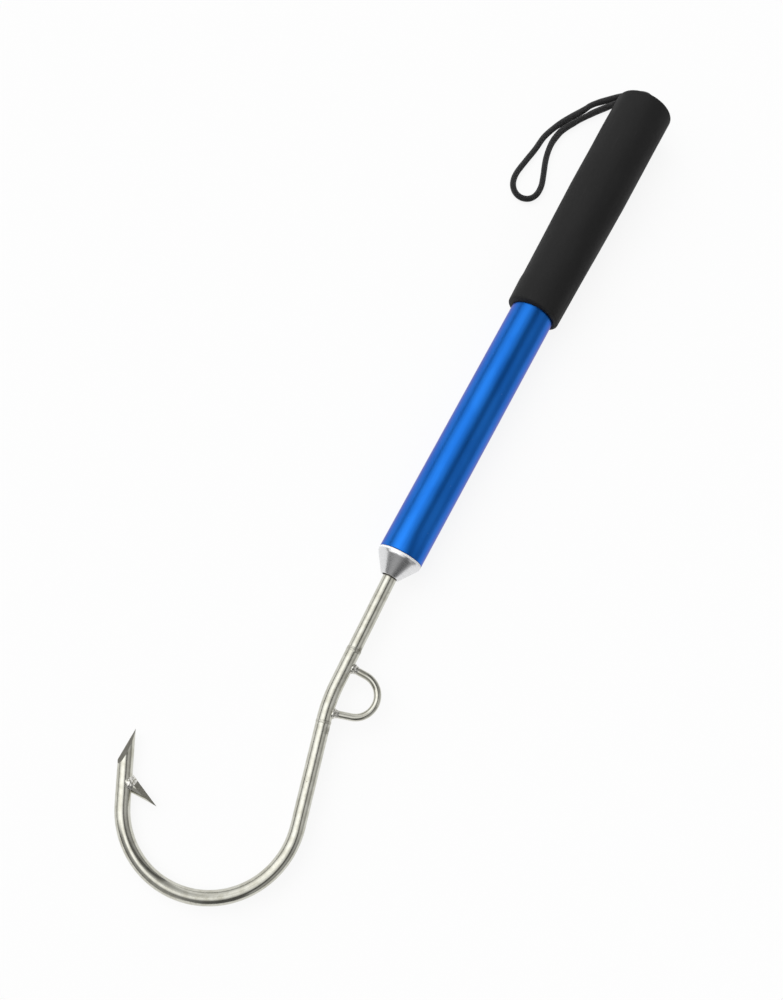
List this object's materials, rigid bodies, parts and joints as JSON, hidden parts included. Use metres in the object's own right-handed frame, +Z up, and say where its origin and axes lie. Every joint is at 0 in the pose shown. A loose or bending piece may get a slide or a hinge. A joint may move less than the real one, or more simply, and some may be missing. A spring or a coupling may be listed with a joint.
{
  "type": "fishing gaff",
  "caption": "Short fishing gaff: a foam-covered grip with a wrist cord, a blue metal tube, a turned nose cone and a welded steel hook with a barb and a line ring.",
  "frame": {"origin": "centre of the butt face, on the axis of the handle", "axes": "+X along the handle towards the hook; the hook lies in the XY plane with its point towards -Y and the line ring on +Y; +Z is up when the gaff lies flat"},
  "size_m": [0.53, 0.1043, 0.034],
  "materials": {
    "foam": "matt closed-cell foam",
    "plug_plastic": "matt moulded plastic",
    "cord": "fine black braid",
    "blue_anodised": "blue anodised, semi-gloss, with faint draw lines",
    "bare_aluminium": "fine turned, bright",
    "epoxy": "cured glue",
    "steel": "hand-polished stainless steel, satin",
    "plated_steel": "plain bright steel",
    "nylon": "plain nylon",
    "weld_seam": "ground-down weld, darker than the wire",
    "weld_bead": "rough bright weld"
  },
  "bodies": {
    "root": {"foam_grip": "foam", "butt_plug": "plug_plastic", "wrist_cord": "cord", "cord_knot": "cord", "handle_tube": "blue_anodised", "nose_cone": "bare_aluminium", "nose_adhesive": "epoxy", "shank_rod": "steel", "shank_washer": "plated_steel", "lock_nut": "plated_steel", "nut_insert": "nylon", "shank_weld": "weld_seam", "hook_neck": "steel", "neck_weld": "weld_seam", "hook_bend": "steel", "barb": "steel", "barb_weld": "weld_bead", "line_ring": "steel", "ring_weld_front": "weld_bead", "ring_weld_rear": "weld_bead"}
  },
  "joints": []
}
